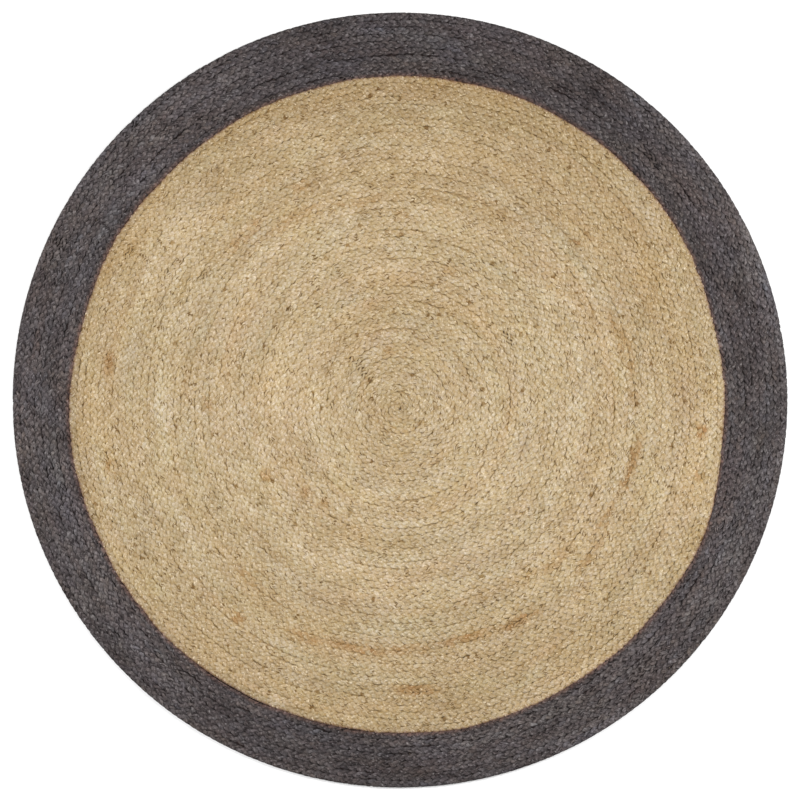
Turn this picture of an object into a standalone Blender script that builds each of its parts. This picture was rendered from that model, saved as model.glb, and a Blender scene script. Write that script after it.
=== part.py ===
"""A round rug of flat jute braid, wound outwards from the middle and sewn row to row.

Units are metres, +Z is up and the rug lies on z = 0 with the origin under its middle.
The natural braid fills the field. The charcoal braid is joined to its end and winds on
around it. Both follow one coil, which turns counter-clockwise as it grows, seen from above.
"""
import math

import bmesh
import bpy
from mathutils import Vector

RUG_RADIUS = 0.600
NATURAL_ROWS = 47
CHARCOAL_ROWS = 9
ROW_PITCH = RUG_RADIUS / (NATURAL_ROWS + CHARCOAL_ROWS)

BRAID_HEIGHT = 0.0080
GROOVE_HEIGHT = 0.0055
RIM_HEIGHT = 0.0045
SEAM_GAP = 0.0003
WELD_DISTANCE = 0.00001

# The coil is laid out in steps, STEPS_PER_TURN to a turn. Step 0 is the natural braid's
# start, and the charcoal braid has taken over at JOIN_STEP, at the same angle.
STEPS_PER_TURN = 48
JOIN_ANGLE = math.radians(352.5)
JOIN_STEPS = 2
JOIN_STEP = NATURAL_ROWS * STEPS_PER_TURN

# The tucked start is bent round a middle this wide, as a share of a row, and rises to the
# braid's full height over its first steps.
START_SHARE = 0.4
RISE_STEPS = 8

# The last charcoal row narrows to nothing against the rim between these two angles.
TAPER_START = math.radians(142.5)
TAPER_END = math.radians(187.5)

# The coil's start lies off the middle of the finished rug by this much.
START_OFFSET = Vector((-0.0019, -0.0132))

# How far the colour change lies outside a true spiral, by angle around the rug.
# Columns: angle in degrees, offset in millimetres.
BOUNDARY_WANDER = (
    (352.5, 0.0),
    (375.0, -3.4),
    (390.0, -0.3),
    (420.0, -1.9),
    (450.0, -4.4),
    (465.0, -6.0),
    (495.0, -6.5),
    (510.0, -2.6),
    (525.0, -2.7),
    (550.0, 5.6),
    (560.0, 3.4),
    (585.0, 5.2),
    (600.0, 5.1),
    (615.0, 3.1),
    (637.5, 5.4),
    (660.0, 2.0),
    (690.0, 2.1),
    (712.5, 0.0),
)

NATURAL_COLOR = (0.49, 0.37, 0.22)
CHARCOAL_COLOR = (0.080, 0.070, 0.070)


def smooth(share):
    """Ease a share between 0 and 1 in and out."""
    share = min(1.0, max(0.0, share))
    return share * share * (3.0 - 2.0 * share)


def angle_of(turn_share):
    """Angle around the rug of a share of a turn counted from the join."""
    return JOIN_ANGLE + math.tau * turn_share


def turn_share_of(angle):
    """Share of a turn from the join to an angle around the rug."""
    return ((angle - JOIN_ANGLE) % math.tau) / math.tau


def boundary_wander(turn_share):
    """Offset of the colour change from a true spiral, in metres."""
    degrees = math.degrees(angle_of(turn_share))
    for (start, low), (end, high) in zip(BOUNDARY_WANDER, BOUNDARY_WANDER[1:]):
        if degrees <= end:
            break
    return 0.001 * (low + (high - low) * smooth((degrees - start) / (end - start)))


def border_rows(turn_share):
    """Number of charcoal rows beside an angle: nine, then eight past the tapered end."""
    start = turn_share_of(TAPER_START)
    end = turn_share_of(TAPER_END)
    return CHARCOAL_ROWS - smooth((turn_share - start) / (end - start))


def row_edge(step):
    """Point on the line between two rows, where step counts outwards along the coil."""
    row, step_in_turn = divmod(step, STEPS_PER_TURN)
    turn_share = step_in_turn / STEPS_PER_TURN
    boundary = ROW_PITCH * (NATURAL_ROWS + turn_share) + boundary_wander(turn_share)
    if row <= NATURAL_ROWS:
        edge = row + turn_share
        rows_in = max(edge, START_SHARE + (1.0 - START_SHARE) * edge)
        wander = boundary_wander(turn_share) * (edge / (NATURAL_ROWS + turn_share)) ** 3
        radius = ROW_PITCH * rows_in + wander
        center = START_OFFSET * max(0.0, 1.0 - edge / NATURAL_ROWS)
    else:
        rows_out = min(1.0, (row - NATURAL_ROWS) / border_rows(turn_share))
        radius = boundary + (RUG_RADIUS - boundary) * rows_out
        center = Vector((0.0, 0.0))
    angle = angle_of(turn_share)
    return center + radius * Vector((math.cos(angle), math.sin(angle)))


def join_line(step):
    """Point on the slanting line where the natural braid gives way to the charcoal one."""
    left = min(1.0, max(0.0, (JOIN_STEP - step) / JOIN_STEPS))
    return row_edge(step).lerp(row_edge(step + STEPS_PER_TURN), left)


def natural_edges(step):
    """Inner and outer edge of the natural braid at one step along it."""
    return row_edge(step), join_line(step)


def charcoal_edges(step):
    """Inner and outer edge of the charcoal braid at one step along it."""
    return join_line(step), row_edge(step + STEPS_PER_TURN)


def wind_braid(first_step, last_step, edges):
    """Bend a long grid onto the coil as one braid with a crest, and sew its rows together."""
    strip = bmesh.new()
    steps = last_step - first_step
    bmesh.ops.create_grid(strip, x_segments=steps, y_segments=2, size=0.5)
    for edge in strip.edges:
        edge.smooth = not edge.is_boundary
    for vert in strip.verts:
        step = first_step + round((vert.co.x + 0.5) * steps)
        inner, outer = edges(step)
        across = vert.co.y + 0.5
        fullness = min(1.0, (outer - inner).length / ROW_PITCH, (step - first_step) / RISE_STEPS)
        crest = 1.0 - abs(2.0 * across - 1.0)
        vert.co = inner.lerp(outer, across).to_3d()
        vert.co.z = GROOVE_HEIGHT + (BRAID_HEIGHT - GROOVE_HEIGHT) * crest * fullness
    bmesh.ops.remove_doubles(strip, verts=strip.verts, dist=WELD_DISTANCE)
    return strip


def open_edges(mesh):
    """The edges with a face on one side only."""
    return [edge for edge in mesh.edges if edge.is_boundary]


def fill_middle(mesh):
    """Close the small hole inside the first row with a low dome."""
    reach = 2.0 * ROW_PITCH
    hole = [edge for edge in open_edges(mesh) if (edge.verts[0].co.xy - START_OFFSET).length < reach]
    cap = bmesh.ops.holes_fill(mesh, edges=hole, sides=0)["faces"]
    top = bmesh.ops.poke(mesh, faces=cap)["verts"][0]
    top.co.z = BRAID_HEIGHT


def shape_sides(mesh, offset):
    """Move the side that meets the other braid in or out, and round off the rim."""
    for vert in {vert for edge in open_edges(mesh) for vert in edge.verts}:
        radius = vert.co.xy.length
        if radius > RUG_RADIUS - SEAM_GAP:
            vert.co.z = RIM_HEIGHT
        else:
            vert.co.xy *= (radius + offset) / radius


def close_below(mesh):
    """Wall the open edges down to the floor and fill the flat underside."""
    walls = bmesh.ops.extrude_edge_only(mesh, edges=open_edges(mesh))["geom"]
    for part in walls:
        if isinstance(part, bmesh.types.BMVert):
            part.co.z = 0.0
    floor_edges = open_edges(mesh)
    for edge in floor_edges:
        edge.smooth = False
    bmesh.ops.triangle_fill(mesh, use_beauty=True, edges=floor_edges)
    bmesh.ops.recalc_face_normals(mesh, faces=mesh.faces)


def jute(name, color, roughness):
    """A plain jute material."""
    material = bpy.data.materials.new(name)
    material.use_nodes = True
    shader = material.node_tree.nodes["Principled BSDF"]
    shader.inputs["Base Color"].default_value = (*color, 1.0)
    shader.inputs["Roughness"].default_value = roughness
    shader.inputs["Metallic"].default_value = 0.0
    material.diffuse_color = (*color, 1.0)
    return material


def add_braid(name, collection, strip, material):
    """Turn a finished braid into a named object."""
    mesh = bpy.data.meshes.new(name)
    strip.to_mesh(mesh)
    strip.free()
    mesh.shade_smooth()
    mesh.materials.append(material)
    braid = bpy.data.objects.new(name, mesh)
    collection.objects.link(braid)
    return braid


def main():
    for old in list(bpy.data.objects):
        bpy.data.objects.remove(old, do_unlink=True)
    rug = bpy.data.collections.new("round_jute_rug")
    bpy.context.scene.collection.children.link(rug)

    field = wind_braid(0, JOIN_STEP, natural_edges)
    fill_middle(field)
    shape_sides(field, -SEAM_GAP / 2.0)
    close_below(field)
    add_braid("natural_braid_field", rug, field, jute("natural_jute", NATURAL_COLOR, 0.9))

    border_end = JOIN_STEP + round((CHARCOAL_ROWS - 1 + turn_share_of(TAPER_END)) * STEPS_PER_TURN)
    border = wind_braid(JOIN_STEP - JOIN_STEPS, border_end, charcoal_edges)
    shape_sides(border, SEAM_GAP / 2.0)
    close_below(border)
    add_braid("charcoal_braid_border", rug, border, jute("charcoal_jute", CHARCOAL_COLOR, 0.9))


main()
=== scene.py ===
"""A round rug of flat jute braid on a white studio floor, seen from straight above.

Lengths are metres and angles degrees, unless a comment says otherwise. Each braid is three
strands that pass over and under each other, and every strand is a closed mesh tube laid
along the coil that the frame's solids follow. A turn is a place along the coil, counted in
turns from where its first full row starts. The row that starts at turn t lies between the
edges t and t + 1.
"""
import math

import bpy
import numpy as np
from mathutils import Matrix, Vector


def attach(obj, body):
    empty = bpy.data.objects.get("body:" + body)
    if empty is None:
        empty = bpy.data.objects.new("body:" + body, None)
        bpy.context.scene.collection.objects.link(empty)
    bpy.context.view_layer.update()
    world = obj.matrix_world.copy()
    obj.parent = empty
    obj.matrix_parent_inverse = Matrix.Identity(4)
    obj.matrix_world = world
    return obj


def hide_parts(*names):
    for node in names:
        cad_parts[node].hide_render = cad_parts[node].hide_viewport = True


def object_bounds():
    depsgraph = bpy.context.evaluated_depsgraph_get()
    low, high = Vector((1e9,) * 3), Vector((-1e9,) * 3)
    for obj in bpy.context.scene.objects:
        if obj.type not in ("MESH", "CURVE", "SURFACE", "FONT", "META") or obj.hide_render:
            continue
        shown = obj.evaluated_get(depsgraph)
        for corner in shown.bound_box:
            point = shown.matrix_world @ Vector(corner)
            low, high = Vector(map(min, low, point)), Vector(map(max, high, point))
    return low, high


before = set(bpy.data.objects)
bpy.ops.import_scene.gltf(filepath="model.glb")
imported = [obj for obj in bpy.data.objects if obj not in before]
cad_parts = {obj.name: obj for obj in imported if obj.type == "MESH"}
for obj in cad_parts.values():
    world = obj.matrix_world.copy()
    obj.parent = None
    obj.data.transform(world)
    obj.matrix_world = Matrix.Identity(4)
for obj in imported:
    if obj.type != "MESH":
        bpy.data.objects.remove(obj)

CAD_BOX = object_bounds()

# ---------------- sizes of the rug

RUG_RADIUS = CAD_BOX[1][0]
BRAID_HEIGHT = CAD_BOX[1][2]
NATURAL_ROWS = 47
CHARCOAL_ROWS = 9
ROW_PITCH = RUG_RADIUS / (NATURAL_ROWS + CHARCOAL_ROWS)

# The charcoal braid has taken over at this angle, after a slanting join that takes this
# share of a turn.
JOIN_ANGLE = 352.5
JOIN_TURNS = 2 / 48

# The last charcoal row narrows to nothing against the rim between these two angles.
TAPER_ANGLES = (142.5, 187.5)

# The coil's start lies off the middle of the finished rug by this much. The first row is
# bent round a middle this wide, as a share of a row, and no edge comes nearer to the start
# than the last number's share of a row.
START_OFFSET = np.array((-0.0019, -0.0132))
START_SHARE = 0.4
NEAREST_SHARE = 0.02

# The turn where the natural strands start, and how many turns the strands stay clear of the
# join and of the tapered end.
START_TURN = -0.85
JOIN_CLEARANCE = 0.003
TAPER_CLEARANCE = 0.02

# How far the colour change lies outside a true spiral, by angle around the rug.
# Columns: angle in degrees, offset in millimetres.
BOUNDARY_WANDER = np.array((
    (352.5, 0),
    (375, -3.4),
    (390, -0.3),
    (420, -1.9),
    (450, -4.4),
    (465, -6),
    (495, -6.5),
    (510, -2.6),
    (525, -2.7),
    (550, 5.6),
    (560, 3.4),
    (585, 5.2),
    (600, 5.1),
    (615, 3.1),
    (637.5, 5.4),
    (660, 2),
    (690, 2.1),
    (712.5, 0),
))

# Each row drifts sideways by itself over a length, and slow waves push the rows together.
# All this fades out over the last rows before the rim, which lie even.
ROW_DRIFT = 0.0005
ROW_DRIFT_LENGTH = 0.08
CALM_ROWS = 5.0
WAVE_SIZE = 0.0004

# The waves that push to the right and the ones that push up. Columns: how fast they change
# to the right and up, in radians per metre, and where they start, in radians.
WAVES_RIGHT = ((41.0, 17.0, 0.0), (-67.0, 23.0, 1.0))
WAVES_UP = ((-29.0, 37.0, 2.0), (19.0, 71.0, 0.0))

# ---------------- sizes of the braid

STRANDS = 3

# How each braid is plaited. A strand comes back to the same side after one period. Lobes of
# a strand whose chance to lie slack is above the tightness leave a gap beside them.
NATURAL_PLAIT = {"period": 0.0350, "tightness": 2.25}
CHARCOAL_PLAIT = {"period": 0.0368, "tightness": 1.2}

# The period varies by this share, over this length.
PERIOD_UNEVENNESS = 0.05
PERIOD_WANDER_LENGTH = 0.21

# A strand swings out to each side by this share of the row's width, more or less.
STRAND_SWING = 0.34
SWING_UNEVENNESS = 0.11

STRAND_HALF_WIDTH = 0.0033
STRAND_HALF_HEIGHT = 0.0020

# A strand's middle lies this high where it crosses the braid's middle. It rises and dips from
# there along its over pass and its under pass, and lies higher where it turns at the edge.
CROSSING_HEIGHT = 0.0043
EDGE_RISE = 0.0005
EDGE_UNEVENNESS = 0.0006
OVER_RISE = BRAID_HEIGHT - STRAND_HALF_HEIGHT - CROSSING_HEIGHT - EDGE_RISE / 2
UNDER_DIP = 0.0012
BOTTOM_DROP = CROSSING_HEIGHT - STRAND_HALF_HEIGHT - UNDER_DIP + EDGE_RISE / 2

# A strand wanders sideways, up and down and in width, by these amounts over these lengths.
# The width is a share of the strand's own.
SIDE_WANDER = 0.0005
SIDE_WANDER_LENGTH = 0.012
HEIGHT_WANDER = 0.0003
HEIGHT_WANDER_LENGTH = 0.011
WIDTH_WANDER = 0.07
WIDTH_WANDER_LENGTH = 0.014

# A strand is wider on its over pass, and a slack one is narrower and lies lower.
OVER_PLUMPNESS = 0.05
SLACK_THINNESS = 0.37
SLACK_DROP = 0.0003

# What is left of its width and height where the braid narrows to nothing.
LEAST_WIDTH = 0.35
LEAST_HEIGHT = 0.5

# Single points are moved by this much, but no higher than this share of the braid's height.
LUMPINESS = 0.00022
TOP_SHARE = 1.02

# Random numbers of unit spread are held within these limits, at a strand's edge the second.
LIMIT = 2.0
EDGE_LIMIT = 1.5

# Where a side of the braid is pressed flat, points are stretched towards it and reach this
# share of the half width at the most. It is flat for this many turns, and free elsewhere.
PRESSED_SHARE = 1.03
PRESSED_STRETCH = 1.35
PRESSED_TURNS = 1.02
FREE_REACH = 1.0

# Steps in each turn of a braid's centre line.
LINE_STEPS = 720

# The pressed underside's top is high along both edges of each row and low in its middle. The
# sheet is inset towards the rug's middle, and less within a radius around it.
UNDERSIDE_TOPS = np.array((0.0054, 0.0020, 0.0054))
UNDERSIDE_LOW = 0.0008
UNDERSIDE_INSET = 0.0002
MIDDLE_RADIUS = 0.02
UNDERSIDE_STEPS = 60
UNDERSIDE_START = -1.0

# A lobe's chance to lie slack comes from its own random number and its patch's. The patches
# are this long across the rows and along them, and have this seed.
SLACK_BY_LOBE = 0.9
SLACK_BY_PATCH = 0.6
SLACK_PATCHES = (0.012, 0.020, 77)

# The chance is higher by this much in the slack places, and nothing is added beyond this
# share of their size. Lobes are fully slack where it is above the tightness by the softness.
SLACK_PLACE_CHANCE = 2.8
SLACK_PLACE_REACH = 1.5
SLACK_SOFTNESS = 0.5

# Where strands lie slack and gaps show between them. Columns: place, then size, in millimetres.
SLACK_PLACES = np.array((
    (-66, 62, 14),
    (-48, 34, 12),
    (8, 21, 7),
    (31, 18, 7),
    (46, 155, 8),
    (459, -106, 6),
    (469, -50, 5),
))

# How strongly the painted shade around each lobe's outline shows: on average, how much that
# varies, and at the most.
OUTLINE_MEAN = 0.30
OUTLINE_SPREAD = 0.60
OUTLINE_MOST = 1.7

# A piece of bark on a strand spans this many rings.
BARK_RINGS = 2.0

# Each strand is twisted from plies. A ply comes round to the same side again after
# PLIES times PLY_ADVANCE.
PLIES = 4
PLY_ADVANCE = 0.0051

# Where a strand's rings lie in each half of its period, in degrees from where it crosses
# the braid's middle. It lies over the others up to 90 and under them after that, and it is
# highest at 30, where it crosses the next strand.
RING_PHASES = np.radians((4.0, 30.0, 57.0, 84.0, 146.0))
OVER_SKEW = 0.6

# A strand's cross-section, as shares of its half width and half height.
SECTION = np.array((
    (1.0, 0.15),
    (0.58, 0.88),
    (-0.58, 0.88),
    (-1.0, 0.15),
    (0.0, -1.0),
))
SIDES = len(SECTION)

# Places of the section's corners around the strand, and the whole way around.
SECTION_SIDES = (np.roll(SECTION, -1, axis=0) - SECTION) * (STRAND_HALF_WIDTH, STRAND_HALF_HEIGHT)
PLACES_AROUND = np.concatenate(((0.0,), np.cumsum(np.hypot(*SECTION_SIDES.T))))
GIRTH = PLACES_AROUND[-1]

# ---------------- small helpers

# Random numbers come from tables of this size, which repeat. Each use of them has its own
# seed: the braid's or the strand's, plus a small number.
TABLE_SIZE = 8192

# Patches lie in bands around the rug, at least this many to a band. From band to band they
# shift by a share of a patch, and their numbers start further on in the table.
FEWEST_PATCHES = 3
BAND_SHIFT = 0.618
BAND_STRIDE = 131
PATCH_GAIN = 1.6


def smooth(share):
    """Ease shares between 0 and 1 in and out."""
    share = np.clip(share, 0.0, 1.0)
    return share * share * (3.0 - 2.0 * share)


def rise(value, start, length):
    """0 up to a start, then easing to 1 over a length."""
    return smooth((value - start) / length)


def tapered(least, fullness):
    """A share that falls from 1 to its least as the braid narrows."""
    return least + (1.0 - least) * fullness


def wander(places, length, seed):
    """Smooth random numbers of unit spread that change over a length."""
    knots = np.random.default_rng(seed).normal(size=TABLE_SIZE)
    steps = np.asarray(places) / length
    first = np.floor(steps).astype(int)
    share = smooth(steps - first)
    return knots[first % TABLE_SIZE] * (1.0 - share) + knots[(first + 1) % TABLE_SIZE] * share


def per_step(places, length, seed):
    """Random numbers of unit spread that hold over each length and then jump."""
    knots = np.random.default_rng(seed).normal(size=TABLE_SIZE)
    return knots[np.floor(np.asarray(places) / length).astype(int) % TABLE_SIZE]


def per_lobe(lobe, seed):
    """Random numbers of unit spread, one for each lobe of a strand."""
    return per_step(lobe, 1.0, seed)


def patches(points, across, along, seed):
    """Smooth random numbers of unit spread in patches that are longer along the rows."""
    table = np.random.default_rng(seed).normal(size=TABLE_SIZE)
    distance = np.linalg.norm(points, axis=-1) / across
    turns = (np.arctan2(points[:, 1], points[:, 0]) / math.tau) % 1.0
    total = np.zeros(len(points))
    first = np.floor(distance).astype(int)
    inward = smooth(1.0 - (distance - first))
    for band, weight in ((first, inward), (first + 1, 1.0 - inward)):
        count = np.round(math.tau * band * across / along).astype(int)
        count = np.maximum(FEWEST_PATCHES, count)
        places = turns * count + BAND_SHIFT * band
        low = np.floor(places).astype(int)
        share = smooth(places - low)
        start = BAND_STRIDE * band
        total += weight * table[(start + low % count) % TABLE_SIZE] * (1.0 - share)
        total += weight * table[(start + (low + 1) % count) % TABLE_SIZE] * share
    return total * PATCH_GAIN


def unit(vectors):
    """Vectors scaled to length 1."""
    return vectors / np.maximum(np.linalg.norm(vectors, axis=-1, keepdims=True), 1e-12)


def columns(values, at, known):
    """Linear interpolation of each column of values."""
    return np.stack([np.interp(at, known, column) for column in values.T], axis=-1)


# ---------------- the coil


def share_of(angle):
    """Share of a turn from the join to an angle."""
    return ((angle - JOIN_ANGLE) % 360.0) / 360.0


# The first and last turn of each braid's strands.
NATURAL_TURNS = (START_TURN, NATURAL_ROWS - JOIN_CLEARANCE)
CHARCOAL_TURNS = (
    NATURAL_ROWS - JOIN_TURNS + JOIN_CLEARANCE,
    NATURAL_ROWS + CHARCOAL_ROWS - 1 + share_of(TAPER_ANGLES[1]) - TAPER_CLEARANCE,
)


def boundary_wander(share):
    """Offset of the colour change from a true spiral at a share of a turn."""
    degrees = JOIN_ANGLE + 360.0 * share
    angles, offsets = BOUNDARY_WANDER.T
    low = np.clip(np.searchsorted(angles, degrees) - 1, 0, len(angles) - 2)
    eased = rise(degrees, angles[low], angles[low + 1] - angles[low])
    return 0.001 * (offsets[low] + (offsets[low + 1] - offsets[low]) * eased)


def border_rows(share):
    """Number of charcoal rows beside an angle: nine, then eight past the tapered end."""
    start, end = (share_of(angle) for angle in TAPER_ANGLES)
    return CHARCOAL_ROWS - rise(share, start, end - start)


def row_edge(edge):
    """Points on the line between two rows."""
    row = np.floor(edge + 1e-9)
    share = np.clip(edge - row, 0.0, 1.0)
    boundary = ROW_PITCH * (NATURAL_ROWS + share) + boundary_wander(share)
    rows_in = np.maximum(edge, START_SHARE + (1.0 - START_SHARE) * edge)
    rows_in = np.maximum(rows_in, NEAREST_SHARE)
    reach = np.clip(edge, 0.0, None) / (NATURAL_ROWS + share)
    inside = ROW_PITCH * rows_in + boundary_wander(share) * reach ** 3
    rows_out = np.minimum(1.0, (row - NATURAL_ROWS) / border_rows(share))
    outside = boundary + (RUG_RADIUS - boundary) * rows_out
    radius = np.where(row > NATURAL_ROWS, outside, inside)
    offset = np.clip(1.0 - edge / NATURAL_ROWS, 0.0, 1.0)
    angle = math.radians(JOIN_ANGLE) + math.tau * edge
    around = np.stack((np.cos(angle), np.sin(angle)), axis=-1)
    return START_OFFSET * offset[..., None] + radius[..., None] * around


def join_line(turn):
    """Points on the slanting line where the natural braid gives way to the charcoal one."""
    left = np.clip((NATURAL_ROWS - turn) / JOIN_TURNS, 0.0, 1.0)[..., None]
    return row_edge(turn) * (1.0 - left) + row_edge(turn + 1.0) * left


def natural_edges(turn):
    """Inner and outer edge of the natural braid."""
    return row_edge(turn), join_line(turn)


def charcoal_edges(turn):
    """Inner and outer edge of the charcoal braid."""
    return join_line(turn), row_edge(turn + 1.0)


def calm(points):
    """1 over most of the rug, falling to 0 at the rim."""
    inset = RUG_RADIUS - np.linalg.norm(points, axis=-1)
    return rise(inset, ROW_PITCH, CALM_ROWS * ROW_PITCH)[..., None]


def waves(points):
    """Sideways shift that makes the rows a little uneven."""
    shifts = []
    for table in (WAVES_RIGHT, WAVES_UP):
        parts = [right * points[..., 0] + up * points[..., 1] + start for right, up, start in table]
        shifts.append(sum(np.sin(part) for part in parts))
    return WAVE_SIZE * np.stack(shifts, axis=-1)


# ---------------- the strands


def braid_line(edges, first, last, seed):
    """A braid's centre line, with its width, its length so far and its outward direction."""
    turns = np.arange(first, last, 1.0 / LINE_STEPS)
    inner, outer = edges(turns)
    middle = (inner + outer) / 2.0
    distance = turns * np.linalg.norm(middle, axis=1) * math.tau
    drift = ROW_DRIFT * wander(distance, ROW_DRIFT_LENGTH, seed)
    middle = middle + calm(middle) * (waves(middle) + drift[:, None] * unit(outer - inner))
    ahead = unit(np.gradient(middle, axis=0))
    steps = np.linalg.norm(np.diff(middle, axis=0), axis=1)
    return {
        "turns": turns,
        "middle": middle,
        "outward": np.stack((ahead[:, 1], -ahead[:, 0]), axis=-1),
        "width": np.linalg.norm(outer - inner, axis=1),
        "along": np.concatenate(((0.0,), np.cumsum(steps))),
    }


def braid_phase(line, period, seed):
    """How far the plaiting has come at each point of a line, in radians."""
    unevenness = 1.0 + PERIOD_UNEVENNESS * wander(line["along"], PERIOD_WANDER_LENGTH, seed)
    steps = np.diff(line["along"], prepend=0.0)
    return np.cumsum(math.tau * steps / (period * unevenness))


def slackness(lobe, points, tightness, seed):
    """How slack each lobe of a strand is: mostly 0, and up to 1 in a few that lie together."""
    chance = SLACK_BY_LOBE * per_lobe(lobe, seed)
    chance = chance + SLACK_BY_PATCH * patches(points, *SLACK_PATCHES)
    for x, y, size in SLACK_PLACES / 1000.0:
        away = np.hypot(points[:, 0] - x, points[:, 1] - y) / size
        chance += SLACK_PLACE_CHANCE * smooth(SLACK_PLACE_REACH - away)
    return rise(chance, tightness, SLACK_SOFTNESS)


def strand_places(line, phase, number, tightness, seed):
    """Where one strand's rings lie along a braid, and what is known at each of them."""
    own_phase = phase + math.tau * number / STRANDS
    halves = np.arange(math.floor(own_phase[0] / math.pi), math.ceil(own_phase[-1] / math.pi))
    phases = (math.pi * halves[:, None] + RING_PHASES).ravel()
    phases = phases[(phases > own_phase[0]) & (phases < own_phase[-1])]
    along = np.interp(phases, own_phase, line["along"])
    middle = columns(line["middle"], along, line["along"])
    width = np.interp(along, line["along"], line["width"])
    lobe = np.floor(phases / math.pi)
    outline = OUTLINE_MEAN + OUTLINE_SPREAD * per_lobe(lobe, seed + 6)
    return {
        "number": np.full(len(along), number),
        "phase": phases,
        "along": along,
        "turn": np.interp(along, line["along"], line["turns"]),
        "middle": middle,
        "outward": unit(columns(line["outward"], along, line["along"])),
        "width": width,
        "fullness": np.clip(width / ROW_PITCH, 0.0, 1.0),
        "lobe": lobe,
        "over": np.sin(2.0 * phases + OVER_SKEW * np.sin(2.0 * phases)),
        "slack": slackness(lobe, middle, tightness, seed + 5),
        "outline": np.clip(outline, 0.0, OUTLINE_MOST),
        "rarity": per_step(np.arange(len(along)), BARK_RINGS, seed + 9),
    }


def strand_spine(strand, seed):
    """The middle of a strand at each of its rings."""
    along, lobe, over = strand["along"], strand["lobe"], strand["over"]
    sideways = np.sin(strand["phase"])
    unevenness = SWING_UNEVENNESS * np.clip(per_lobe(lobe, seed + 1), -LIMIT, LIMIT)
    across = strand["width"] * STRAND_SWING * (1.0 + unevenness) * sideways
    aside = SIDE_WANDER * wander(along, SIDE_WANDER_LENGTH, seed + 3)
    across = across + aside * strand["fullness"]
    own_rise = np.clip(per_lobe(lobe, seed + 8), -EDGE_LIMIT, EDGE_LIMIT)
    edge_rise = EDGE_RISE + EDGE_UNEVENNESS * own_rise
    lift = np.where(over > 0.0, OVER_RISE, UNDER_DIP) * over + edge_rise * sideways ** 2
    lift = lift * tapered(LEAST_HEIGHT, strand["fullness"])
    lift = lift + HEIGHT_WANDER * wander(along, HEIGHT_WANDER_LENGTH, seed + 2)
    lift = lift - SLACK_DROP * strand["slack"]
    flat = strand["middle"] + strand["outward"] * across[:, None]
    return np.column_stack((flat, CROSSING_HEIGHT + lift))


def strand_rings(strand, seed):
    """The rings of points around a strand."""
    ahead = unit(np.gradient(strand["spine"], axis=0))
    side = unit(np.cross(ahead, (0.0, 0.0, 1.0)))
    above = np.cross(side, ahead)
    plump = 1.0 + OVER_PLUMPNESS * strand["over"]
    plump = plump + WIDTH_WANDER * wander(strand["along"], WIDTH_WANDER_LENGTH, seed + 4)
    plump = plump - SLACK_THINNESS * strand["slack"]
    half_width = STRAND_HALF_WIDTH * plump * tapered(LEAST_WIDTH, strand["fullness"])
    half_height = STRAND_HALF_HEIGHT * tapered(LEAST_HEIGHT, strand["fullness"])
    rings = strand["spine"][:, None, :]
    rings = rings + side[:, None, :] * (half_width[:, None] * SECTION[:, 0])[..., None]
    rings = rings + above[:, None, :] * (half_height[:, None] * SECTION[:, 1])[..., None]
    rings[:, -1, 2] += BOTTOM_DROP * np.minimum(strand["over"], 0.0)
    lumps = np.random.default_rng(seed + 7).normal(size=rings.shape)
    rings = rings + LUMPINESS * np.clip(lumps, -LIMIT, LIMIT)
    rings[..., 2] = np.clip(rings[..., 2], 0.0, BRAID_HEIGHT * TOP_SHARE)
    return rings


def pressed_reach(reach, turn, width, turns):
    """How far points reach sideways where the braid's sides are pressed flat.

    The inner side is flat in the first turn and the outer side in the last one.
    """
    limit = PRESSED_SHARE * width[:, None] / 2.0
    outermost = turn[:, None] > turns[-1] - PRESSED_TURNS
    innermost = turn[:, None] < turns[0] + PRESSED_TURNS
    stretched = (outermost & (reach > 0.0)) | (innermost & (reach < 0.0))
    spread = np.where(stretched, PRESSED_STRETCH, 1.0)
    lowest = np.where(innermost, -limit, -FREE_REACH)
    highest = np.where(outermost, limit, FREE_REACH)
    return np.clip(reach * spread, lowest, highest)


def press_sides(strand, turns):
    """Press a strand's points flat where a side is, and give how far each reaches sideways.

    The reach is a share of the row's half width, from its middle outwards.
    """
    rings, outward = strand["rings"], strand["outward"][:, None, :]
    reach = ((rings[..., :2] - strand["middle"][:, None, :]) * outward).sum(axis=-1)
    pressed = pressed_reach(reach, strand["turn"], strand["width"], turns)
    rings[..., :2] += (pressed - reach)[..., None] * outward
    return pressed / (strand["width"][:, None] / 2.0)


def braid_strand(line, phase, number, tightness, seed):
    """One strand of a braid: its rings of points, and what is known at each ring."""
    strand = strand_places(line, phase, number, tightness, seed)
    strand["spine"] = strand_spine(strand, seed)
    strand["rings"] = strand_rings(strand, seed)
    strand["reach"] = press_sides(strand, line["turns"])
    return strand


def braid_strands(edges, first, last, plait, seed):
    """The three strands of one braid."""
    line = braid_line(edges, first, last, seed + 1)
    phase = braid_phase(line, plait["period"], seed)
    return [
        braid_strand(line, phase, number, plait["tightness"], seed + 10 * (number + 1))
        for number in range(STRANDS)
    ]


def cut(strand, low, high):
    """The part of a strand between two turns, sharing its end rings with its neighbours."""
    inside = np.flatnonzero((strand["turn"] >= low) & (strand["turn"] < high))
    span = slice(inside[0], min(inside[-1] + 2, len(strand["turn"])))
    return {key: values[span] for key, values in strand.items()}


# ---------------- meshes

# The map for baking has a cell for each stretch of strand between two rings, with a margin at
# both ends. There are this many times as many rows of cells as columns.
BAKE_MARGIN = 0.04
BAKE_FILLED = 1.0 - 2.0 * BAKE_MARGIN
BAKE_ROWS_PER_COLUMN = 4.0


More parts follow.
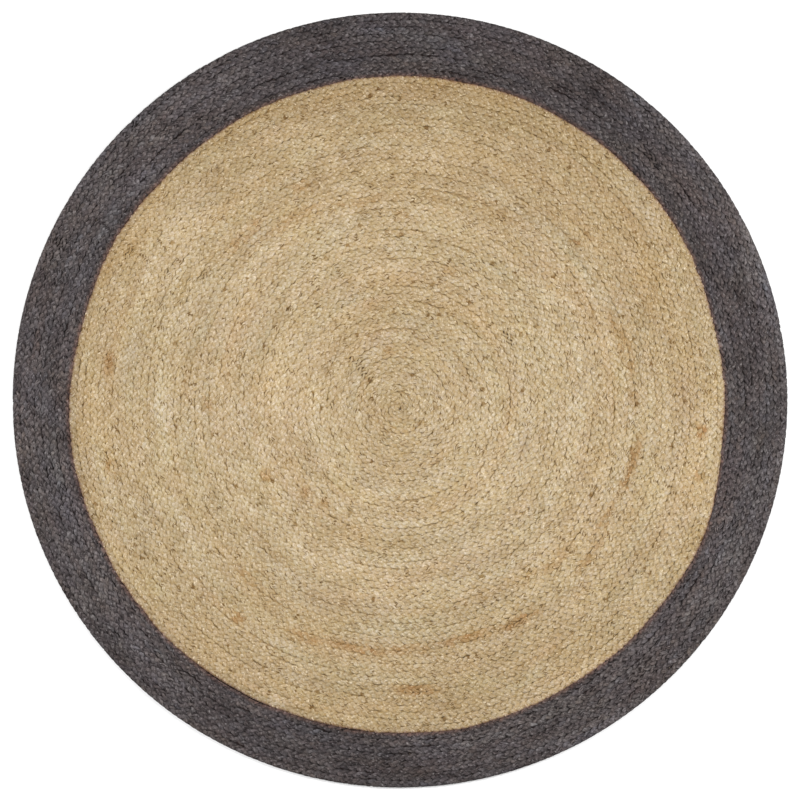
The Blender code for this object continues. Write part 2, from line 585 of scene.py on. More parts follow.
def fill_mesh(mesh, points, corners, counts):
    """Fill a mesh from points, the corners of its faces and each face's corner count."""
    mesh.vertices.add(len(points))
    mesh.vertices.foreach_set("co", points.ravel())
    mesh.loops.add(len(corners))
    mesh.loops.foreach_set("vertex_index", corners)
    mesh.polygons.add(len(counts))
    mesh.polygons.foreach_set("loop_start", np.cumsum(counts) - counts)
    mesh.update(calc_edges=True)
    mesh.validate()
    mesh.shade_smooth()


def store_shades(mesh, shades):
    """Store the yarn's colour on a mesh's points."""
    layer = mesh.color_attributes.new("Yarn", "FLOAT_COLOR", "POINT")
    layer.data.foreach_set("color", np.column_stack((shades, np.ones(len(shades)))).ravel())


def ring_quads(rings, sides, start):
    """Corners of the faces between a number of rings, the first of which begins at a point."""
    near = start + sides * np.arange(rings - 1)[:, None]
    side = np.arange(sides)
    after = (side + 1) % sides
    square = (near + side, near + sides + side, near + sides + after, near + after)
    return np.stack(square, axis=-1).reshape(-1, 4)


def square_map(low, high, left, right, swapped=False):
    """Map places of the faces between rings: along the strand, then around it."""
    shape = np.broadcast_shapes(low.shape, left.shape)
    low, high = np.broadcast_to(low, shape), np.broadcast_to(high, shape)
    left, right = np.broadcast_to(left, shape), np.broadcast_to(right, shape)
    order = ((low, left), (high, left), (high, right), (low, right))
    places = [np.stack(pair[::-1] if swapped else pair, axis=-1) for pair in order]
    return np.stack(places, axis=2).reshape(-1, 2)


def bake_squares(first, count, total):
    """Map places for baking of some stretches between rings, out of a total."""
    columns_wide = math.ceil(math.sqrt(total / BAKE_ROWS_PER_COLUMN))
    rows_high = math.ceil(total / columns_wide)
    cells = first + np.arange(count)[:, None]
    column, row = cells // rows_high, cells % rows_high
    side = np.arange(SIDES)
    left = (column + BAKE_MARGIN + BAKE_FILLED * side / SIDES) / columns_wide
    right = (column + BAKE_MARGIN + BAKE_FILLED * (side + 1) / SIDES) / columns_wide
    return square_map(row / rows_high, (row + 1) / rows_high, left, right, swapped=True)


def tube_mesh(name, strands):
    """One mesh of closed tubes, with a map along each strand and one for baking."""
    total = sum(len(strand["along"]) - 1 for strand in strands)
    quads, caps, strand_map, bake_map = [], [], [], []
    start, cell = 0, 0
    for strand in strands:
        count = len(strand["along"])
        low, high = strand["along"][:-1, None], strand["along"][1:, None]
        quads.append(ring_quads(count, SIDES, start))
        caps.append(start + np.arange(SIDES))
        caps.append(start + (count - 1) * SIDES + np.arange(SIDES)[::-1])
        strand_map.append(square_map(low, high, PLACES_AROUND[:-1], PLACES_AROUND[1:]))
        bake_map.append(bake_squares(cell, count - 1, total))
        cell += count - 1
        start += count * SIDES
    mesh = bpy.data.meshes.new(name)
    quads = np.concatenate(quads)
    corners = np.concatenate((quads.ravel(), *caps))
    counts = np.repeat((4, SIDES), (len(quads), len(caps)))
    points = np.concatenate([strand["rings"].reshape(-1, 3) for strand in strands])
    fill_mesh(mesh, points, corners, counts)
    for map_name, parts in (("Strand", strand_map), ("OFBake", bake_map)):
        layer = mesh.uv_layers.new(name=map_name)
        flat = np.zeros((len(corners), 2))
        drawn = np.concatenate(parts)
        flat[: len(drawn)] = drawn
        layer.uv.foreach_set("vector", flat.ravel())
    return mesh


def add_piece(name, mesh, material, slot, *nodes):
    """Put a mesh in the scene as a piece of the rug."""
    piece = bpy.data.objects.new(name, mesh)
    bpy.context.scene.collection.objects.link(piece)
    mesh.materials.append(material)
    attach(piece, "root")
    if nodes:
        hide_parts(*nodes)
    return piece


# ---------------- colour of the yarn

# Stretches of row with a stain. Columns: distance of the row from the rug's middle and
# angle of the stain's middle and its length, in millimetres and degrees, then strength.
STAINS = np.array((
    (373, 345, 12, 1.5),
    (372, 339.5, 3, 1.8),
    (361, 8, 20, 0.9),
    (352, 17, 14, 0.6),
    (368, 331, 14, 0.8),
    (381, 321, 10, 0.9),
    (347, 315, 10, 0.6),
    (341, 305, 8, 0.5),
    (388, 299, 10, 1.3),
    (384, 285, 12, 1.5),
    (388, 272, 10, 0.9),
    (390, 260, 14, 1.1),
    (397, 248, 10, 0.8),
    (450, 273, 10, 1.5),
    (421, 233.5, 3, 1.3),
    (455, 173, 5, 1.7),
    (460, 193, 3, 1),
    (470.6, 354, 2.6, 2.2),
    (477, 346, 3, 0.8),
    (364, 42, 3, 1),
    (462, 39, 8, 0.6),
    (333, 62, 26, 0.55),
    (320, 80, 20, 0.45),
    (315, 100, 24, 0.55),
    (286, 89, 5, 0.9),
    (330, 118, 20, 0.4),
    (366, 115, 4, 0.9),
    (351, 133, 12, 0.8),
    (238, 209, 5, 1.1),
    (205, 224, 5, 0.9),
    (197, 234, 4, 0.9),
    (363, 230, 8, 0.7),
    (298, 181, 5, 0.8),
    (79, 103, 12, 0.7),
    (216, 69, 6, 0.7),
    (154, 107, 8, 0.5),
))

# A stain is this wide on each side of its row, in millimetres. It is gone at these shares of
# its half length and half width, and at full strength where they are less by 1.
STAIN_HALF_WIDTH = 7.0
STAIN_REACH_ALONG = 1.4
STAIN_REACH_ACROSS = 1.5

# How much of a stain the yarn takes up: on average, how much that varies along a strand and
# from lobe to lobe, and at the most.
STAIN_TAKEN = 0.7
STAIN_WANDER = 0.35
STAIN_WANDER_LENGTH = 0.02
STAIN_BY_LOBE = 0.25
STAIN_TAKEN_MOST = 1.3

# Patches where the yarn is paler and cooler, or darker: partly the yarn's own tone and partly
# painted sheen and shade by side. Columns: place in millimetres, half length across the rows
# and along them in millimetres, then lightness.
PALE_PATCHES = np.array((
    (-356, 248, 46, 120, 0.12),
    (-124, 395, 25, 60, 0.06),
    (-473, -93, 18, 60, 0.08),
    (403, -139, 22, 50, 0.12),
    (248, 170, 22, 40, 0.07),
    (230, 60, 50, 110, 0.04),
    (201, -186, 34, 70, 0.08),
    (-186, 0, 70, 80, 0.06),
    (-372, 8, 14, 60, 0.07),
    (-20, 480, 22, 120, -0.15),
    (180, 450, 30, 110, -0.07),
    (-60, -470, 34, 140, -0.06),
    (0, 10, 80, 80, -0.05),
    (330, -360, 26, 90, -0.05),
    (-430, 215, 20, 50, -0.08),
    (277, 481, 34, 150, -0.22),
    (0, -555, 34, 150, -0.25),
    (-392, 392, 34, 200, 0.20),
    (310, -460, 34, 150, 0.08),
))

# How light the natural yarn is by its distance from the rug's middle.
LIGHTNESS_PROFILE = (
    (0.0, 0.09, 0.15, 0.28, 0.34, 0.40, 0.46, 0.51),
    (0.065, 0.065, 0.07, 0.07, 0.015, -0.01, -0.04, -0.06),
)

# Painted sheen and shade: both braids are palest at this angle and opposite it, where the
# fibres catch the softboxes' light, and darkest halfway between. The charcoal one is darker
# still right at the darkest angles.
PALE_SIDE = 170.0
NATURAL_SIDE_SHEEN = 0.02
DYED_SIDE_SHEEN = 0.04
DYED_CROSS_SHADE = 0.12

# Painted shade: the natural braid gets darker towards the top, and the charcoal one towards
# the top right.
UPPER_SHADE = 0.05
TOP_RIGHT = np.array((0.64, 0.77))
TOP_RIGHT_SHADE = 0.04

# Random patches of the rug in which the yarn varies. Columns: weight, size across the rows
# and along them, and seed. The last two have no weight.
BROAD_PATCHES = ((1.0, 0.028, 0.120, 71), (0.6, 0.060, 0.300, 72))
WARM_PATCHES = ((0.45, 0.025, 0.150, 74), (0.4, 0.010, 0.04, 75))
FINE_PATCHES = (0.012, 0.030, 73)
YELLOW_PATCHES = (0.02, 0.05, 76)

# How much each braid's lightness varies in broad patches, in streaks along the braid, and
# in fine patches, from strand to strand and from lobe to lobe.
NATURAL_MOTTLING = {"broad": 0.024, "streaky": 0.018, "fine": 0.028}
DYED_MOTTLING = {"broad": 0.080, "streaky": 0.080, "fine": 0.075}

# Streaks show in all three strands at once, so they share a seed. The lengths are those over
# which each thing changes, and after which a strand's yarn is spliced to another.
STREAK_SEED = 79
STREAK_LENGTH = 0.12
STRAND_LENGTH = 0.25
SPLICE_LENGTH = 1.31
WARMTH_LENGTH = 0.06

# How much a strand's lightness varies, a lobe's, a strand's warmth, and yellowness.
STRAND_WEIGHT = 0.5
LOBE_WEIGHT = 1.8
WARMTH_WEIGHT = 0.6
YELLOW_WEIGHT = 0.8

# How much more the charcoal yarn varies in warmth and yellowness than the natural one.
DYED_WARMTH = 2.0
DYED_YELLOWNESS = 1.2

# Red, green and blue of the two yarns.
STRAW = np.array((0.395, 0.310, 0.211))
CHARCOAL = np.array((0.0810, 0.0665, 0.0659))

# What a step in lightness, and one in warmth or yellowness, does to each of red, green and
# blue. Paler yarn is also greyer, and the painted shade on the dark sides of its fibres is
# yellower.
LIGHTER = np.array((0.88, 1.12, 1.57))
SHADED = np.array((0.75, 1.14, 2.35))
DYED_LIGHTER = np.array((0.90, 1.0, 1.0))
WARMER = np.array((0.010, -0.009, -0.022))
YELLOWER = np.array((0.004, 0.0, -0.020))

# What is left of red, green and blue in a full stain, on a piece of bark, and in the painted
# shade beside a slack lobe, around a lobe and where a strand passes under another.
STAIN_TINT = np.array((0.83, 0.705, 0.56))
BARK_TINT = np.array((0.42, 0.31, 0.16))
GAP_SHADE_TINT = np.array((0.25, 0.14, 0.035))
DYED_GAP_SHADE_TINT = np.array((0.27, 0.21, 0.21))
OUTLINE_SHADE_TINT = np.array((0.87, 0.80, 0.54))
DYED_OUTLINE_SHADE_TINT = np.array((0.11, 0.085, 0.085))
UNDER_SHADE_TINT = np.array((0.90, 0.82, 0.60))
DYED_UNDER_SHADE_TINT = 0.40

# How much of the painted shade beside a slack lobe and around a lobe reaches each corner of a
# strand's section.
GAP_SHADE_SHARES = np.array((1.0, 0.05, 0.05, 1.0, 1.0))
OUTLINE_SHADE_SHARES = np.array((1.0, 0.0, 0.0, 1.0, 1.0))

# Bark is there where a random number is above this, and at full strength 1 above it.
BARK_RARENESS = 2.1
BARK_SOFTNESS = 1.0

# The natural braid's last row is tinted where it meets the charcoal one, and painted with
# shade towards the lower left.
SEAM_TINT = np.array((0.42, 0.31, 0.37))
LAST_ROW_SHADE = 0.83
LOWER_LEFT = np.array((-0.91, -0.42))

# The charcoal braid's first row is warmer towards the natural one and painted with shade in
# its middle, and its last row is darker at the rim.
DYED_SEAM_TINT = np.array((1.48, 1.02, 0.82))
FIRST_ROW_SHADE = 0.78
RIM_TINT = 0.72

# Where those tints set in and over how much, as shares of the row's half width outwards from
# its middle, for the warm one inwards. The painted shade goes down again further out, by this much.
SEAM_RISE = (0.55, 0.40)
RIM_RISE = (0.40, 0.40)
WARM_RISE = (-0.4, 1.4)
DARK_RISE = (-0.4, 0.6)
DARK_FALL = (0.3, 0.6)
DARK_FALL_AMOUNT = 1.4

# Tints of the underside: its flat bottom, then its top along a row's inner edge, its middle
# and its outer edge. The top's tints are painted shade, for the natural braid deepest in a
# row's middle.
UNDERSIDE_TINT = np.array((0.85, 0.75, 0.60))
DEPTH_SHADE_TINTS = np.array(((1.0, 0.88, 0.70), (0.44, 0.30, 0.12), (1.0, 0.88, 0.70)))
DYED_DEPTH_SHADE_TINTS = np.full((3, 3), (0.20, 0.155, 0.155))


def stain_strength(points):
    """How stained each point is. A full stain is 1, and a few are stronger."""
    distance = 1000.0 * np.linalg.norm(points, axis=-1)
    angle = np.degrees(np.arctan2(points[..., 1], points[..., 0]))
    strength = np.zeros(len(points))
    for row, middle, length, amount in STAINS:
        away = np.abs((angle - middle + 180.0) % 360.0 - 180.0) / (length / 2.0)
        aside = np.abs(distance - row) / STAIN_HALF_WIDTH
        own = amount * smooth(STAIN_REACH_ALONG - away) * smooth(STAIN_REACH_ACROSS - aside)
        strength = np.maximum(strength, own)
    return strength


def stain_taken(strand, seed):
    """How much of a stain the yarn takes up at each ring."""
    taken = STAIN_TAKEN + STAIN_WANDER * wander(strand["along"], STAIN_WANDER_LENGTH, seed + 5)
    taken = taken + STAIN_BY_LOBE * per_lobe(strand["lobe"], seed + 6)
    return np.clip(taken, 0.0, STAIN_TAKEN_MOST)


def side_sheen(points):
    """Painted sheen and shade: 1 on the two sides where the rug is palest, and -1 halfway between them.
    """
    angle = np.arctan2(points[:, 1], points[:, 0])
    return np.cos(2.0 * (angle - math.radians(PALE_SIDE)))


def patch_lightness(points):
    """How much paler the yarn is in the paler patches."""
    lightness = np.zeros(len(points))
    for x, y, across, along, amount in PALE_PATCHES:
        middle = np.array((x, y)) / 1000.0
        outward = middle / np.linalg.norm(middle)
        away = points - middle
        aside = 1000.0 * (away @ outward) / across
        further = 1000.0 * (away @ np.array((-outward[1], outward[0]))) / along
        lightness += amount * np.exp(-aside ** 2 - further ** 2)
    return lightness


def mottling(strand, points, seed, broad, streaky, fine):
    """How lightness, warmth and yellowness vary over the rug, along strands and by lobe."""
    along, lobe = strand["along"], strand["lobe"]
    own = wander(along, STRAND_LENGTH, seed + 2) + per_step(along, SPLICE_LENGTH, seed + 1)
    lightness = sum(weight * broad * patches(points, *size) for weight, *size in BROAD_PATCHES)
    lightness += streaky * wander(along, STREAK_LENGTH, STREAK_SEED)
    lightness += fine * patches(points, *FINE_PATCHES) + STRAND_WEIGHT * fine * own
    lightness += LOBE_WEIGHT * fine * per_lobe(lobe, seed + 3)
    warmth = sum(weight * patches(points, *size) for weight, *size in WARM_PATCHES)
    warmth += WARMTH_WEIGHT * wander(along, WARMTH_LENGTH, seed + 4)
    yellowness = YELLOW_WEIGHT * per_lobe(lobe, seed + 8)
    yellowness += YELLOW_WEIGHT * patches(points, *YELLOW_PATCHES)
    return lightness, warmth, yellowness


def mixed(color, lighter, lightness, warmth, yellowness):
    """A yarn colour made paler, warmer and yellower by small amounts."""
    step = lightness[:, None] * lighter + warmth[:, None] * WARMER
    return color * np.exp(step + yellowness[:, None] * YELLOWER)


def lowness(strand):
    """0 where a strand lies highest over the others, and 1 where it lies lowest."""
    return 0.5 - 0.5 * strand["over"]


def corner_tint(tint, amounts, shares):
    """A tint at each corner of each ring, by the ring's amount and the corner's share."""
    return tint ** (amounts[:, None, None] * shares[:, None])


def natural_colors(strand, seed):
    """Colour of undyed jute at each point of each ring, with painted sheen and shade."""
    points = strand["spine"][:, :2]
    lightness, warmth, yellowness = mottling(strand, points, seed, **NATURAL_MOTTLING)
    lightness += np.interp(np.linalg.norm(points, axis=-1), *LIGHTNESS_PROFILE)
    # Painted sheen and shade by side.
    lightness += patch_lightness(points) + NATURAL_SIDE_SHEEN * side_sheen(points)
    # Painted shade towards the top.
    lightness -= UPPER_SHADE * points[:, 1] / RUG_RADIUS
    stain = stain_strength(points) * stain_taken(strand, seed)
    last_row = strand["turn"] > NATURAL_ROWS - 1.0
    lower_left = last_row * np.clip(unit(points) @ LOWER_LEFT, 0.0, 1.0)
    bark = rise(strand["rarity"], BARK_RARENESS, BARK_SOFTNESS)
    seam = rise(strand["reach"], *SEAM_RISE) * last_row[:, None]
    shades = mixed(STRAW, LIGHTER, lightness, warmth, yellowness)
    shades = shades * STAIN_TINT ** stain[:, None]
    # Painted shade on the last row towards the lower left.
    shades = shades * LAST_ROW_SHADE ** lower_left[:, None]
    # Painted shade where the strand passes under another.
    shades = shades * UNDER_SHADE_TINT ** lowness(strand)[:, None]
    shades = shades * BARK_TINT ** bark[:, None]
    # Painted shade in the gap beside a slack lobe.
    around = corner_tint(GAP_SHADE_TINT, strand["slack"], GAP_SHADE_SHARES)
    # Painted shade around each lobe's outline.
    around = around * corner_tint(OUTLINE_SHADE_TINT, strand["outline"], OUTLINE_SHADE_SHARES)
    return shades[:, None, :] * around * SEAM_TINT ** seam[..., None]


def charcoal_colors(strand, seed):
    """Colour of dyed jute at each point of each ring, with painted sheen and shade."""
    points, turn, reach = strand["spine"][:, :2], strand["turn"], strand["reach"]
    lightness, warmth, yellowness = mottling(strand, points, seed, **DYED_MOTTLING)
    # Painted sheen and shade by side, with deeper painted shade at the darkest angles.
    side = side_sheen(points)
    lightness += DYED_SIDE_SHEEN * side - DYED_CROSS_SHADE * np.clip(-side, 0.0, None) ** 3
    # Painted shade towards the top right.
    lightness += patch_lightness(points) - TOP_RIGHT_SHADE * (points @ TOP_RIGHT) / RUG_RADIUS
    warmth, yellowness = DYED_WARMTH * warmth, DYED_YELLOWNESS * yellowness
    first_row = (turn < CHARCOAL_TURNS[0] + 1.0)[:, None]
    last_row = (turn > CHARCOAL_TURNS[1] - PRESSED_TURNS)[:, None]
    rim = rise(reach, *RIM_RISE) * last_row
    warm = rise(-reach, *WARM_RISE) * first_row
    dark = (rise(reach, *DARK_RISE) - DARK_FALL_AMOUNT * rise(reach, *DARK_FALL)) * first_row
    shades = mixed(CHARCOAL, DYED_LIGHTER, lightness, warmth, yellowness)
    # Painted shade where the strand passes under another.
    shades = shades * DYED_UNDER_SHADE_TINT ** lowness(strand)[:, None]
    shades = shades[:, None, :] * RIM_TINT ** rim[..., None] * DYED_SEAM_TINT ** warm[..., None]
    # Painted shade in the middle of the first row.
    shades = shades * FIRST_ROW_SHADE ** dark[..., None]
    # Painted shade in the gap beside a slack lobe.
    shades = shades * corner_tint(DYED_GAP_SHADE_TINT, strand["slack"], GAP_SHADE_SHARES)
    # Painted shade around each lobe's outline.
    return shades * corner_tint(DYED_OUTLINE_SHADE_TINT, strand["outline"], OUTLINE_SHADE_SHARES)


# ---------------- materials

# How fast each detail of the yarn changes along a strand and around it, per metre.
FIBRE_SCALE = (120.0, 1300.0)
BUNDLE_SCALE = (90.0, 420.0)
FLECK_SCALE = (85.0, 430.0)
TWIST_SCALE = (70.0, 160.0)

# How unevenly the plies are twisted, in plies.
TWIST_UNEVENNESS = 1.6

# The fibres' tone goes from dark to light over this much on each side of its middle.
TONE_REACH = 0.8

# How strongly flecks of bark show, and how soft they are. Fibres look frayed from this far
# above the middle tone, and most at the second distance, this strongly.
FLECK_STRENGTH = 0.9
FLECK_SOFTNESS = 0.015
FRAYED_FROM = 0.40
FRAYED_TO = 0.85
FRAYED_STRENGTH = 0.8

BUMP = {"Strength": 0.7, "Distance": 0.0007}
ROUGHNESS = (0.50, 0.66)
SHEEN_SHARE = 0.1
SHEEN_ROUGHNESS = 0.5

# The two yarns, and the natural one where it is pressed flat below the plaiting. The tones
# are what the dark and light sides of the fibres do to the colour: as the tone follows the
# bump's height, they are partly painted shade in the creases and painted light on the crests.
# Flecks of bark are rarer at a higher level.
NATURAL_YARN = {
    "contrast": 0.25,
    "tones": (SHADED, LIGHTER),
    "graininess": 2.2,
    "grain_scale": 360.0,
    "fleck_level": 0.79,
    "bark": (0.115, 0.058, 0.010, 1.0),
    "frayed": (0.73, 0.60, 0.40, 1.0),
    "gloss": 0.2,
}
PRESSED_YARN = {
    **NATURAL_YARN,
    "bark": (0.030, 0.015, 0.004, 1.0),
    "frayed": (0.30, 0.25, 0.17, 1.0),
    "gloss": 0.1,
}
CHARCOAL_YARN = {
    "contrast": 0.70,
    "tones": (DYED_LIGHTER, DYED_LIGHTER),
    "graininess": 2.3,
    "grain_scale": 300.0,
    "fleck_level": 0.71,
    "bark": (0.012, 0.008, 0.008, 1.0),
    "frayed": (0.20, 0.183, 0.183, 1.0),
    "gloss": 0.2,
}


class Nodes:
    """Short ways to add and link shader nodes in one material."""

    def __init__(self, name):
        self.material = bpy.data.materials.new(name)
        self.material.use_nodes = True
        self.tree = self.material.node_tree

    def give(self, node, inputs):
        """Link a node's inputs to other nodes, or set their values."""
        for key, value in inputs.items():
            if isinstance(value, bpy.types.NodeSocket):
                self.tree.links.new(value, node.inputs[key])
            else:
                node.inputs[key].default_value = value
        return node

    def shade(self, inputs):
        """Link or set inputs of the material's own shader."""
        self.give(self.tree.nodes["Principled BSDF"], inputs)

    def add(self, kind, inputs, **settings):
        """A new node with its inputs and settings."""
        node = self.tree.nodes.new(kind)
        for key, value in settings.items():
            setattr(node, key, value)
        return self.give(node, inputs)

    def streaks(self, place, scale, detail):
        """Noise that changes at one rate along a strand and at another around it."""
        stretch = {0: place, 1: (*scale, 1.0)}
        vector = self.add("ShaderNodeVectorMath", stretch, operation="MULTIPLY").outputs[0]
        inputs = {"Vector": vector, "Scale": 1.0, "Detail": detail, "Roughness": 0.6}
        return self.add("ShaderNodeTexNoise", inputs, noise_dimensions="2D").outputs["Fac"]

    def grain(self, scale):
        """Fine noise that is the same in every direction."""
        spot = self.add("ShaderNodeTexCoord", {}).outputs["Object"]
        inputs = {"Vector": spot, "Scale": scale, "Detail": 1.0}
        return self.add("ShaderNodeTexNoise", inputs).outputs["Fac"]

    def spread(self, value, low, high, to_low, to_high):
        """A value moved from one range to another and held within it."""
        inputs = {"Value": value, "From Min": low, "From Max": high, "To Min": to_low, "To Max": to_high}
        return self.add("ShaderNodeMapRange", inputs).outputs["Result"]

    def math(self, kind, *values):
        """A sum worked out from values."""
        return self.add("ShaderNodeMath", dict(enumerate(values)), operation=kind).outputs[0]

    def mix(self, kind, factor, first, second):
        """Two colours mixed. The mix node's colours are its inputs 6 and 7 and its output 2."""
        inputs = {0: factor, 6: first, 7: second}
        return self.add("ShaderNodeMix", inputs, data_type="RGBA", blend_type=kind).outputs[2]


def ply_twist(nodes, place):
    """How far each point lies from the middle of its ply: up to 0.5 in the crease."""
    split = nodes.add("ShaderNodeSeparateXYZ", {0: place})
    along, around = split.outputs["X"], split.outputs["Y"]
    drift = nodes.math("MULTIPLY", nodes.streaks(place, TWIST_SCALE, 1.0), TWIST_UNEVENNESS)
    turned = nodes.math("MULTIPLY_ADD", around, PLIES / GIRTH, drift)
    phase = nodes.math("MULTIPLY_ADD", along, 1.0 / PLY_ADVANCE, turned)
    return nodes.math("PINGPONG", phase, 0.5)


def jute_material(name, contrast, tones, graininess, grain_scale, fleck_level, bark, frayed, gloss):
    """Coarse plaited yarn: plies, fibre streaks along the strand, flecks and bumps, with painted shade
    in the creases.
    """
    nodes = Nodes(name)
    place = nodes.add("ShaderNodeUVMap", {}, uv_map="Strand").outputs["UV"]
    yarn = nodes.add("ShaderNodeVertexColor", {}, layer_name="Yarn").outputs["Color"]
    fibres = nodes.streaks(place, FIBRE_SCALE, 3.0)
    bundles = nodes.streaks(place, BUNDLE_SCALE, 2.0)
    flecks = nodes.streaks(place, FLECK_SCALE, 0.0)
    height = nodes.math("ADD", fibres, bundles)
    height = nodes.math("MULTIPLY_ADD", ply_twist(nodes, place), -1.0, height)
    # The tone follows the bump's height and a random grain: painted shade in the creases between plies
    # and fibres, painted light on their crests.
    grainy = nodes.math("MULTIPLY_ADD", nodes.grain(grain_scale), graininess, height)
    middle = 0.75 + 0.5 * graininess
    tone = nodes.spread(grainy, middle - TONE_REACH, middle + TONE_REACH, 0.0, 1.0)
    dark = (*(1.0 - np.tanh(contrast * tones[0])), 1.0)
    light = (*(1.0 + np.tanh(contrast * tones[1])), 1.0)
    fleck = nodes.spread(flecks, fleck_level, fleck_level + FLECK_SOFTNESS, 0.0, FLECK_STRENGTH)
    pale = nodes.spread(grainy, middle + FRAYED_FROM, middle + FRAYED_TO, 0.0, FRAYED_STRENGTH)
    color = nodes.mix("MULTIPLY", 1.0, yarn, nodes.mix("MIX", tone, dark, light))
    color = nodes.mix("MIX", fleck, color, bark)
    color = nodes.mix("MIX", pale, color, frayed)
    bump = nodes.add("ShaderNodeBump", {**BUMP, "Height": height})
    nodes.shade({
        "Base Color": color,
        "Normal": bump.outputs["Normal"],
        "Roughness": nodes.spread(fibres, 0.3, 0.7, *ROUGHNESS),
        "Specular IOR Level": gloss,
        "Sheen Weight": SHEEN_SHARE * gloss,
        "Sheen Roughness": SHEEN_ROUGHNESS,
    })
    return nodes.material


# ---------------- the rug


def add_braid(name, edges, turns, plait, seed, pieces, colors, material, slot, node):
    """Build one braid and split it into pieces of about equal length."""
    strands = braid_strands(edges, *turns, plait, seed)
    limits = np.sqrt(np.linspace(max(turns[0], 0.0) ** 2, turns[1] ** 2, pieces + 1))
    limits[0], limits[-1] = turns[0] - 1.0, turns[1] + 1.0
    made = []
    for number, (low, high) in enumerate(zip(limits, limits[1:]), 1):
        parts = [cut(strand, low, high) for strand in strands]
        mesh = tube_mesh(f"{name}_{number}", parts)
        shades = [colors(part, seed + 10 * int(part["number"][0])) for part in parts]
        store_shades(mesh, np.concatenate(shades).reshape(-1, 3))
        made.append(add_piece(f"{name}_{number}", mesh, material, slot, node))
    return made


def underside_rings(edges, first, last):
    """Rings of points around the sheet below one braid: its top, then its bottom."""
    turns = np.linspace(first, last, round((last - first) * UNDERSIDE_STEPS) + 1)
    inner, outer = edges(turns)
    lanes = np.stack((inner, (inner + outer) / 2.0, outer), axis=1)
    distance = np.maximum(np.linalg.norm(lanes, axis=-1, keepdims=True), MIDDLE_RADIUS)
    lanes = lanes * (1.0 - UNDERSIDE_INSET / distance)
    tops = np.broadcast_to(UNDERSIDE_TOPS, lanes.shape[:2])
    upper = np.dstack((lanes, tops))
    lower = np.dstack((lanes, np.full_like(tops, UNDERSIDE_LOW)))
    return np.concatenate((upper, lower[:, ::-1]), axis=1)


def add_underside(material, parts):
    """The strands' undersides, pressed together into a thin sheet below the plaiting, its top painted
    with shade.
    """
    points, corners, shades, start = [], [], [], 0
    for edges, first, last, color, depth_shade_tints in parts:
        rings = underside_rings(edges, first, last)
        count, sides = rings.shape[:2]
        tints = np.concatenate((depth_shade_tints, np.tile(UNDERSIDE_TINT, (3, 1))))
        points.append(rings.reshape(-1, 3))
        corners.append(ring_quads(count, sides, start))
        shades.append(np.tile(color * tints, (count, 1)))
        start += count * sides
    corners = np.concatenate(corners)
    mesh = bpy.data.meshes.new("braid_underside")
    fill_mesh(mesh, np.concatenate(points), corners.ravel(), np.full(len(corners), 4))
    store_shades(mesh, np.concatenate(shades))
    return add_piece("braid_underside", mesh, material, "natural_jute")


natural = jute_material("natural_jute_yarn", **NATURAL_YARN)
pressed = jute_material("pressed_jute_yarn", **PRESSED_YARN)
charcoal = jute_material("charcoal_jute_yarn", **CHARCOAL_YARN)

braids = add_braid(
    "natural_braid", natural_edges, NATURAL_TURNS, NATURAL_PLAIT, seed=100, pieces=4,
    colors=natural_colors, material=natural, slot="natural_jute", node="natural_braid_field",
)
braids += add_braid(
    "charcoal_braid", charcoal_edges, CHARCOAL_TURNS, CHARCOAL_PLAIT, seed=200, pieces=2,
    colors=charcoal_colors, material=charcoal, slot="charcoal_jute", node="charcoal_braid_border",
)

underside = add_underside(pressed, (
    (natural_edges, UNDERSIDE_START, NATURAL_TURNS[1], STRAW, DEPTH_SHADE_TINTS),
    (charcoal_edges, *CHARCOAL_TURNS, CHARCOAL, DYED_DEPTH_SHADE_TINTS),
))

# ---------------- studio

# The rug's radius in the picture, and the picture's size, in pixels.
RUG_PIXELS = 387.15
IMAGE_SIZE = 800.0

# The camera's height, and its sensor and lens in millimetres.
CAMERA_HEIGHT = 4.0
SENSOR = 36.0
LENS = RUG_PIXELS / RUG_RADIUS * SENSOR * (CAMERA_HEIGHT - BRAID_HEIGHT / 2) / IMAGE_SIZE

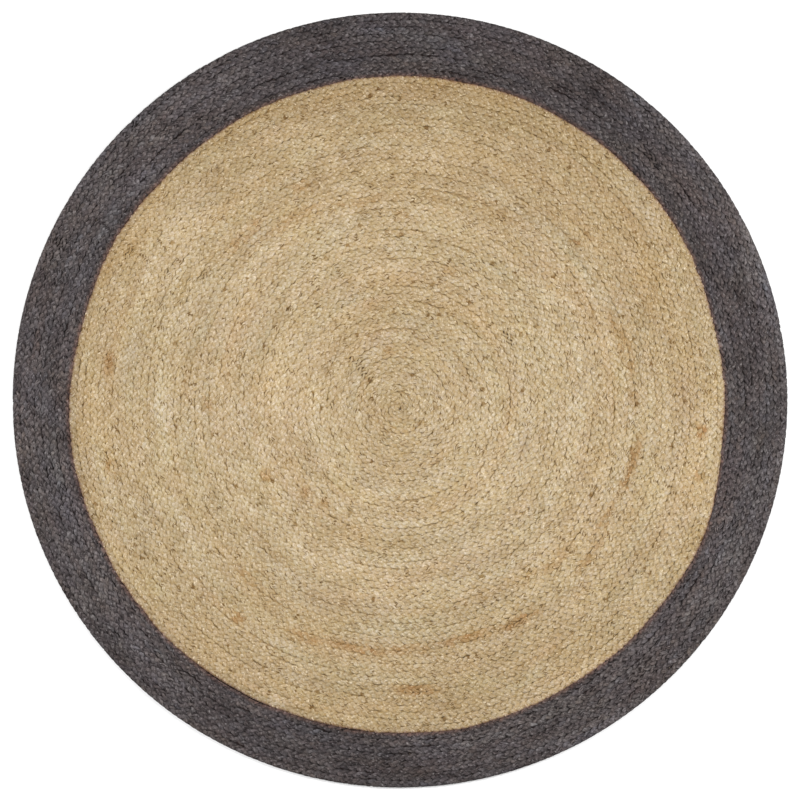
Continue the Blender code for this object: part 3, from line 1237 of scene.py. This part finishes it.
# Columns: name, azimuth, elevation, distance, size, power in watts.
SOFTBOXES = (
    ("right_softbox", 12.0, 40.0, 3.2, 1.6, 88.0),
    ("left_softbox", 176.0, 40.0, 3.2, 1.6, 74.0),
)
SKY_STRENGTH = 0.58
WHITE = (1.0, 1.0, 1.0, 1.0)

# The floor lies a little below the rug, so that the two don't share a plane.
FLOOR_SIZE = 24.0
FLOOR_CELLS = 8
FLOOR_LEVEL = -0.0002
FLOOR_COLOR = (0.95, 0.95, 0.95, 1.0)
FLOOR_ROUGHNESS = 0.9


def add_camera():
    """Camera straight above the rug, which fills the photo's share of the picture."""
    data = bpy.data.cameras.new("camera")
    data.sensor_width = SENSOR
    data.lens = LENS
    camera = bpy.data.objects.new("camera", data)
    camera.location = (0.0, 0.0, CAMERA_HEIGHT)
    bpy.context.scene.collection.objects.link(camera)
    bpy.context.scene.camera = camera


def add_softbox(name, azimuth, elevation, distance, size, power):
    """A square area light that faces the rug's middle."""
    data = bpy.data.lights.new(name, "AREA")
    data.shape = "SQUARE"
    data.size = size
    data.energy = power
    light = bpy.data.objects.new(name, data)
    turned, raised = math.radians(azimuth), math.radians(elevation)
    flat = distance * math.cos(raised)
    light.location = (flat * math.cos(turned), flat * math.sin(turned), distance * math.sin(raised))
    light.rotation_euler = (math.pi / 2 - raised, 0.0, turned + math.pi / 2)
    bpy.context.scene.collection.objects.link(light)


def add_floor():
    """A white studio floor."""
    bpy.ops.mesh.primitive_grid_add(
        x_subdivisions=FLOOR_CELLS, y_subdivisions=FLOOR_CELLS, size=FLOOR_SIZE,
        location=(0.0, 0.0, FLOOR_LEVEL),
    )
    floor = bpy.context.active_object
    floor.name = "studio_floor"
    nodes = Nodes("studio_floor")
    nodes.shade({"Base Color": FLOOR_COLOR, "Roughness": FLOOR_ROUGHNESS})
    floor.data.materials.append(nodes.material)


def add_sky():
    """Even white light from all around."""
    world = bpy.data.worlds.new("studio")
    world.use_nodes = True
    background = world.node_tree.nodes["Background"]
    background.inputs["Color"].default_value = WHITE
    background.inputs["Strength"].default_value = SKY_STRENGTH
    bpy.context.scene.world = world


add_camera()
add_floor()
add_sky()
for softbox in SOFTBOXES:
    add_softbox(*softbox)

view = bpy.context.scene.view_settings
view.view_transform = "Standard"
view.look = "None"
